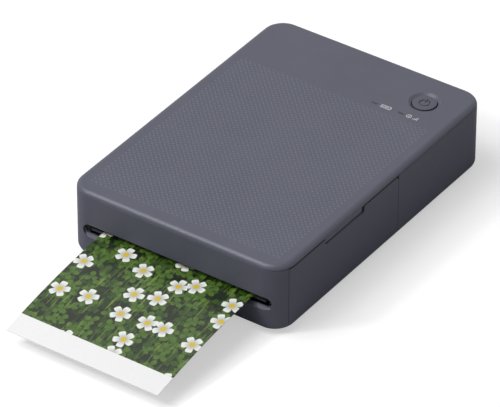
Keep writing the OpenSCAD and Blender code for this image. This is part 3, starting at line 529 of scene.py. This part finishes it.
def new_piece(name: str, points: Array, faces: Sequence[Sequence[int]], finish: Material,
              body: str, smooth: bool = True) -> Object:
    """Makes a mesh piece, dresses it and lets it ride on a body.

    Args:
        name: the piece's name.
        points: its vertices in metres, one row each.
        faces: the vertex numbers of each face, anticlockwise from outside.
        finish: its material.
        body: the body it rides on.
        smooth: whether its faces are shaded smooth.
    Returns:
        The new object.
    """
    mesh = bpy.data.meshes.new(name)
    mesh.from_pydata(np.asarray(points, dtype=float).tolist(), [], [list(f) for f in faces])
    mesh.polygons.foreach_set("use_smooth", np.full(len(mesh.polygons), smooth))
    mesh.update()
    piece = bpy.data.objects.new(name, mesh)
    bpy.context.scene.collection.objects.link(piece)
    mesh.materials.append(finish)
    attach(piece, body)
    LOG.info("%s: %d faces on %s", name, len(mesh.polygons), body)
    return piece


def grid_faces(rows: int, columns: int) -> Array:
    """Quads of a grid of points stored row by row.

    Args:
        rows: the number of rows of points.
        columns: the number of points in a row.
    Returns:
        One row of four vertex numbers for each quad.
    """
    start = (np.arange(rows - 1)[:, None] * columns + np.arange(columns - 1)).ravel()
    return np.stack([start, start + 1, start + columns + 1, start + columns], axis=1)


@dataclass(frozen=True)
class Lamp:
    """A square soft light that faces the printer: its place and side in metres and its power in watts."""

    name: str
    place: Tuple[float, float, float]
    side: float
    watts: float

    def build(self) -> None:
        """Adds the light."""
        light = bpy.data.lights.new(self.name, "AREA")
        light.size = self.side
        light.energy = self.watts
        holder = bpy.data.objects.new(self.name, light)
        bpy.context.scene.collection.objects.link(holder)
        holder.location = self.place
        holder.rotation_euler = Vector(self.place).to_track_quat("Z", "Y").to_euler()


@dataclass(frozen=True)
class Studio:
    """The camera, the lights, the floor and the pale surroundings. Metres.

    The world lights surfaces at its dimmed strength and looks white to the camera and in reflections. The
    floor glows for the camera alone, so it looks nearly white and still shows the shadow.
    """

    lens_mm: float = 360.02
    sensor_mm: float = 36.0
    azimuth: float = math.radians(34.699)
    elevation: float = math.radians(35.729)
    roll: float = math.radians(0.116)
    distance: float = 2.01035
    aside: Tuple[float, float] = (-0.011614, 0.001219)
    view_end: float = 20.0
    floor_half: float = 30.0
    floor_grey: str = "#d6d6d6"
    floor_roughness: float = 0.9
    floor_specular: float = 0.1
    floor_glow: float = 0.5
    dim_world: float = 0.22
    lamps: Tuple[Lamp, ...] = (Lamp("key", (-0.45, -0.45, 1.2), 0.9, 11.2),
                               Lamp("edge", (-0.66, -0.8, 0.95), 0.18, 4.5),
                               Lamp("side", (1.3, 0.1, 0.5), 0.8, 0.15))

    def camera(self) -> None:
        """Places the camera at the photograph's viewing angle."""
        sa, ca = math.sin(self.azimuth), math.cos(self.azimuth)
        se, ce = math.sin(self.elevation), math.cos(self.elevation)
        back = Vector((sa * ce, -ca * ce, se))
        right = Vector((ca, sa, 0.0))
        up = back.cross(right)
        place = back * self.distance + right * self.aside[0] + up * self.aside[1]
        turned = right * math.cos(self.roll) + up * math.sin(self.roll)
        lens = bpy.data.cameras.new("camera")
        lens.lens = self.lens_mm
        lens.sensor_width = self.sensor_mm
        lens.clip_end = self.view_end
        eye = bpy.data.objects.new("camera", lens)
        bpy.context.scene.collection.objects.link(eye)
        axes = Matrix((turned, back.cross(turned), back)).transposed()
        eye.matrix_world = Matrix.Translation(place) @ axes.to_4x4()
        bpy.context.scene.camera = eye

    def surroundings(self) -> None:
        """Sets a plain light world that the camera and reflections see as white."""
        world = bpy.data.worlds.new("studio")
        bpy.context.scene.world = world
        world.use_nodes = True
        tree = world.node_tree
        background = tree.nodes["Background"]
        ray = add_node(tree, "LightPath", {})
        seen = compute(tree, "MAXIMUM", ray.outputs["Is Camera Ray"], ray.outputs["Is Glossy Ray"])
        seen = compute(tree, "MAXIMUM", seen, ray.outputs["Is Transmission Ray"])
        background.inputs["Color"].default_value = linear(WHITE)
        tree.links.new(ramp(tree, seen, 0.0, 1.0, self.dim_world, 1.0), background.inputs["Strength"])

    def floor(self) -> None:
        """Lays a wide pale floor at table height."""
        side = self.floor_half
        corners = np.array([[-side, -side, 0], [side, -side, 0], [side, side, 0], [-side, side, 0]])
        mesh = bpy.data.meshes.new("floor")
        mesh.from_pydata(corners.tolist(), [], [[0, 1, 2, 3]])
        floor = bpy.data.objects.new("floor", mesh)
        bpy.context.scene.collection.objects.link(floor)
        material = bpy.data.materials.new("pale_floor")
        material.use_nodes = True
        tree = material.node_tree
        shader = tree.nodes["Principled BSDF"]
        for name, value in (("Base Color", linear(self.floor_grey)), ("Roughness", self.floor_roughness),
                            ("Specular IOR Level", self.floor_specular), ("Emission Color", linear(WHITE))):
            shader.inputs[name].default_value = value
        ray = add_node(tree, "LightPath", {})
        glow = compute(tree, "MULTIPLY", ray.outputs["Is Camera Ray"], self.floor_glow)
        tree.links.new(glow, shader.inputs["Emission Strength"])
        mesh.materials.append(material)

    def build(self) -> None:
        """Sets the view, the floor, the world and the lights.

        A wide lamp stands high at the front left, a small one beside it draws the highlight along the front
        edge, and a faint one lifts the right side.
        """
        bpy.context.scene.view_settings.view_transform = "Standard"
        self.camera()
        self.floor()
        self.surroundings()
        for lamp in self.lamps:
            lamp.build()


@dataclass(frozen=True)
class PaperSheet:
    """The printed sheet: level inside the slot and drooping outside it. Sizes in millimetres.

    Out is the length outside the slot, middle the place of the middle line across, height that of the underside
    and mouth the slot's place along. Slope, curve and ease shape the droop, and steps are the points each way.
    """

    width: float = 72.0
    length: float = 85.0
    thickness: float = 0.25
    out: float = 62.6
    middle: float = 1.2
    height: float = 15.02
    mouth: float = -72.9
    slope: float = 0.045
    curve: float = 0.0014
    ease: float = 6.0
    steps: Tuple[int, int] = (60, 90)

    def droop(self, away: Array) -> Array:
        """Drop below the slot: slope times distance, eased in at the mouth, plus curve times its square.

        Args:
            away: distance out of the slot.
        Returns:
            The drop, 0 inside the slot.
        """
        out = np.maximum(away, 0)
        return self.slope * out * np.minimum(1, out / self.ease) + self.curve * out ** 2

    def build(self, material: Material) -> None:
        """Makes the closed sheet as a lower and an upper grid joined round their rims.

        Args:
            material: the print.
        """
        across, along = self.steps
        u, v = np.meshgrid(np.linspace(0, 1, across), np.linspace(0, 1, along))
        x = self.middle + (u - 0.5) * self.width
        y = self.mouth - self.out + v * self.length
        z = self.height - self.droop(self.mouth - y)
        low = np.stack([x, y, z], axis=-1).reshape(-1, 3)
        high = low + [0, 0, self.thickness]
        count = across * along
        top = grid_faces(along, across) + count
        bottom = grid_faces(along, across)[:, ::-1]
        index = np.arange(count).reshape(along, across)
        rim = np.concatenate([index[0, :-1], index[:-1, -1], index[-1, :0:-1], index[:0:-1, 0]])
        ahead = np.roll(rim, -1)
        walls = np.stack([rim, ahead, ahead + count, rim + count], axis=1)
        faces = np.concatenate([top, bottom, walls])
        points = np.concatenate([low, high]) * MM
        sheet = new_piece("photo_sheet", points, faces, material, "sheet", False)
        self.map_print(sheet.data, u, v)
        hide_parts("printed_sheet")

    def map_print(self, mesh: bpy.types.Mesh, u: Array, v: Array) -> None:
        """Gives each corner of a face its place on the paper, the same on both sides of the sheet.

        Args:
            mesh: the sheet's mesh.
            u: place across, 0 to 1, for each point of a grid.
            v: place along, 0 to 1, for each point of a grid.
        """
        layer = mesh.uv_layers.new(name="UVMap")
        corner = np.zeros(len(mesh.loops), dtype=np.int32)
        mesh.loops.foreach_get("vertex_index", corner)
        place = np.stack([u.ravel(), v.ravel()], axis=1)
        place = np.concatenate([place, place])[corner]
        layer.data.foreach_set("uv", place.ravel())


@dataclass(frozen=True)
class CoverMarks:
    """Small white pictograms printed beside the indicator windows. Sizes in millimetres.

    Level is the cover's top, film how far the ink goes above and below it, line the width of a stroke and row
    the place along of the signs. A step's pitch and width are in strokes.
    """

    level: float = 32.9
    film: float = 0.02
    line: float = 0.28
    row: float = 43.2
    cell_left: float = 20.0
    cell: Tuple[float, float] = (4.6, 2.0)
    ring_middle: float = 33.4
    ring_r: float = 1.0
    charge_bars: int = 6
    steps_left: float = 35.4
    steps: int = 4
    step_pitch: float = 2.2
    step_width: float = 1.1
    turn_points: int = 24

    def slab(self, outline: Array) -> Plate:
        """A thin plate of the given convex outline.

        Args:
            outline: its corners, anticlockwise, one row each.
        Returns:
            The points and the faces.
        """
        count = len(outline)
        flat = np.concatenate([outline, outline])
        lift = np.repeat([self.level - self.film, self.level + self.film], count)
        points = np.column_stack([flat, lift])
        ring = np.arange(count)
        walls = np.stack([ring, np.roll(ring, -1), np.roll(ring, -1) + count, ring + count], axis=1).tolist()
        return points, [ring[::-1].tolist(), (ring + count).tolist()] + walls

    def bar(self, x0: float, y0: float, x1: float, y1: float) -> Plate:
        """A thin rectangular plate between two corners."""
        return self.slab(np.array([[x0, y0], [x1, y0], [x1, y1], [x0, y1]]))

    def ring(self, x: float, y: float, radius: float) -> Plate:
        """A thin plate ring: the outer and inner circle, below and above.

        Args:
            x: middle, across.
            y: middle, along.
            radius: the line's middle radius.
        Returns:
            The points and the faces.
        """
        turn = np.linspace(0, math.tau, self.turn_points, endpoint=False)
        section = np.array([[self.line / 2, self.film], [-self.line / 2, self.film],
                            [-self.line / 2, -self.film], [self.line / 2, -self.film]])
        reach = radius + section[None, :, 0]
        lift = self.level + np.broadcast_to(section[None, :, 1], (len(turn), len(section)))
        points = np.stack([x + reach * np.cos(turn)[:, None], y + reach * np.sin(turn)[:, None], lift],
                          axis=-1)
        number = np.arange(len(turn) * len(section)).reshape(len(turn), -1)
        ahead = np.roll(number, -1, axis=0)
        faces = np.stack([number, ahead, np.roll(ahead, -1, axis=1), np.roll(number, -1, axis=1)], axis=-1)
        return points.reshape(-1, 3), faces.reshape(-1, 4).tolist()

    def battery(self) -> List[Plate]:
        """The battery sign: four walls, a pole at its right end and the charge bars inside."""
        x0, y0 = self.cell_left, self.row - self.cell[1] / 2
        x1, y1 = x0 + self.cell[0], y0 + self.cell[1]
        t = self.line
        walls = [self.bar(x0, y0, x1, y0 + t), self.bar(x0, y1 - t, x1, y1),
                 self.bar(x0, y0 + t, x0 + t, y1 - t), self.bar(x1 - t, y0 + t, x1, y1 - t)]
        pole = self.bar(x1, self.row - t, x1 + t, self.row + t)
        gap = 2 * t
        charge = [self.bar(x, y0 + gap, x + t, y1 - gap) for x in x0 + gap * np.arange(1, self.charge_bars + 1)]
        return walls + [pole] + charge

    def signal(self) -> List[Plate]:
        """The rising steps, and the dot in its ring on their left."""
        t, low = self.line, self.row - self.cell[1] / 2
        left = self.steps_left + self.step_pitch * t * np.arange(self.steps)
        steps = [self.bar(x, low, x + self.step_width * t, low + (i + 1) * self.cell[1] / self.steps)
                 for i, x in enumerate(left)]
        turn = np.linspace(0, math.tau, self.turn_points, endpoint=False)
        dot = np.column_stack([self.ring_middle + t * np.cos(turn), self.row + t * np.sin(turn)])
        return steps + [self.ring(self.ring_middle, self.row, self.ring_r), self.slab(dot)]

    def build(self, material: Material) -> None:
        """Makes a battery sign and a ringed dot with steps as one piece on the cover.

        Args:
            material: the white ink.
        """
        points: List[Array] = []
        faces: List[List[int]] = []
        total = 0
        for block, corners in self.battery() + self.signal():
            points.append(block)
            faces += [[i + total for i in face] for face in corners]
            total += len(block)
        new_piece("cover_marks", np.concatenate(points) * MM, faces, material, "cover", False)


def dress_frame(materials: Dict[str, Material]) -> None:
    """Gives every CAD node its finish.

    Args:
        materials: the built material for each finish's name.
    """
    for finish, names in NODE_FINISHES.items():
        for name in names.split():
            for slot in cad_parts[name].material_slots:
                slot.material = materials[finish.name]
            LOG.info("%s: %s", name, finish.name)


def main() -> None:
    logging.basicConfig(level=logging.INFO, format="%(name)s %(message)s")
    Studio().build()
    finishes = list(NODE_FINISHES) + [WHITE_INK]
    materials = {finish.name: finish.build() for finish in finishes}
    dress_frame(materials)
    PaperSheet().build(materials[PRINT.name])
    CoverMarks().build(materials[WHITE_INK.name])


if __name__ == "__main__":
    main()
